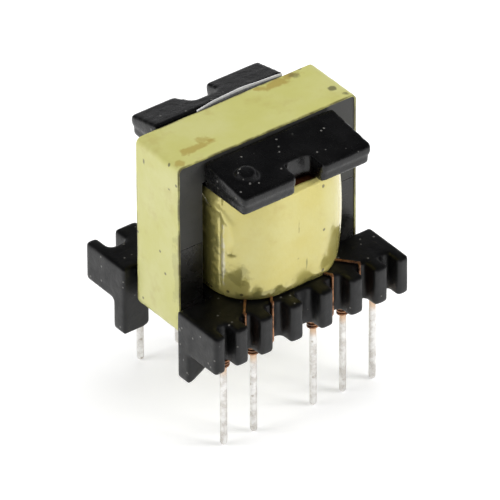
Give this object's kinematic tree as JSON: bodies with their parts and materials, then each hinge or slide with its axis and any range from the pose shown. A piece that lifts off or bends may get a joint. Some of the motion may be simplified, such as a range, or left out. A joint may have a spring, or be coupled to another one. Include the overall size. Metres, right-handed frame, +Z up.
{
  "type": "circuit board transformer",
  "caption": "Small switch-mode power transformer with a taped ferrite core, a toothed coil former and solder pins.",
  "frame": {"origin": "on the axis of pin 1, at the board's surface, level with the undersides of the feet", "axes": "+X along the pin rows from pin 1, +Y from the front pin row to the rear one, +Z up along the coil's axis and away from the board"},
  "size_m": [0.0179, 0.0161, 0.0233],
  "materials": {
    "former": "black moulded phenolic, glossy where varnish covers it",
    "ferrite": "sintered manganese-zinc ferrite, fine-grained dark grey",
    "tape": "yellow polyester tape, satin with varnish stains",
    "coil_tape": "yellow polyester tape, wrinkled and glossy with varnish",
    "film": "clear polyester film",
    "copper": "enamelled copper wire",
    "pin": "tinned wire, dull and slightly mottled"
  },
  "bodies": {
    "root": {"coil_former": "former", "core_lower": "ferrite", "core_upper": "ferrite", "core_tape": "tape", "primary_winding": "copper", "primary_tape": "tape", "auxiliary_winding": "copper", "auxiliary_tape": "tape", "secondary_winding": "copper", "coil_tape": "coil_tape", "film_strip": "film", "pin_1": "pin", "pin_2": "pin", "pin_4": "pin", "pin_5": "pin", "pin_6": "pin", "pin_7": "pin", "pin_8": "pin", "pin_9": "pin", "pin_10": "pin", "lead_1": "copper", "lead_2": "copper", "lead_4": "copper", "lead_5": "copper", "lead_7": "copper", "lead_8": "copper", "lead_9": "copper", "lead_10": "copper"}
  },
  "joints": []
}
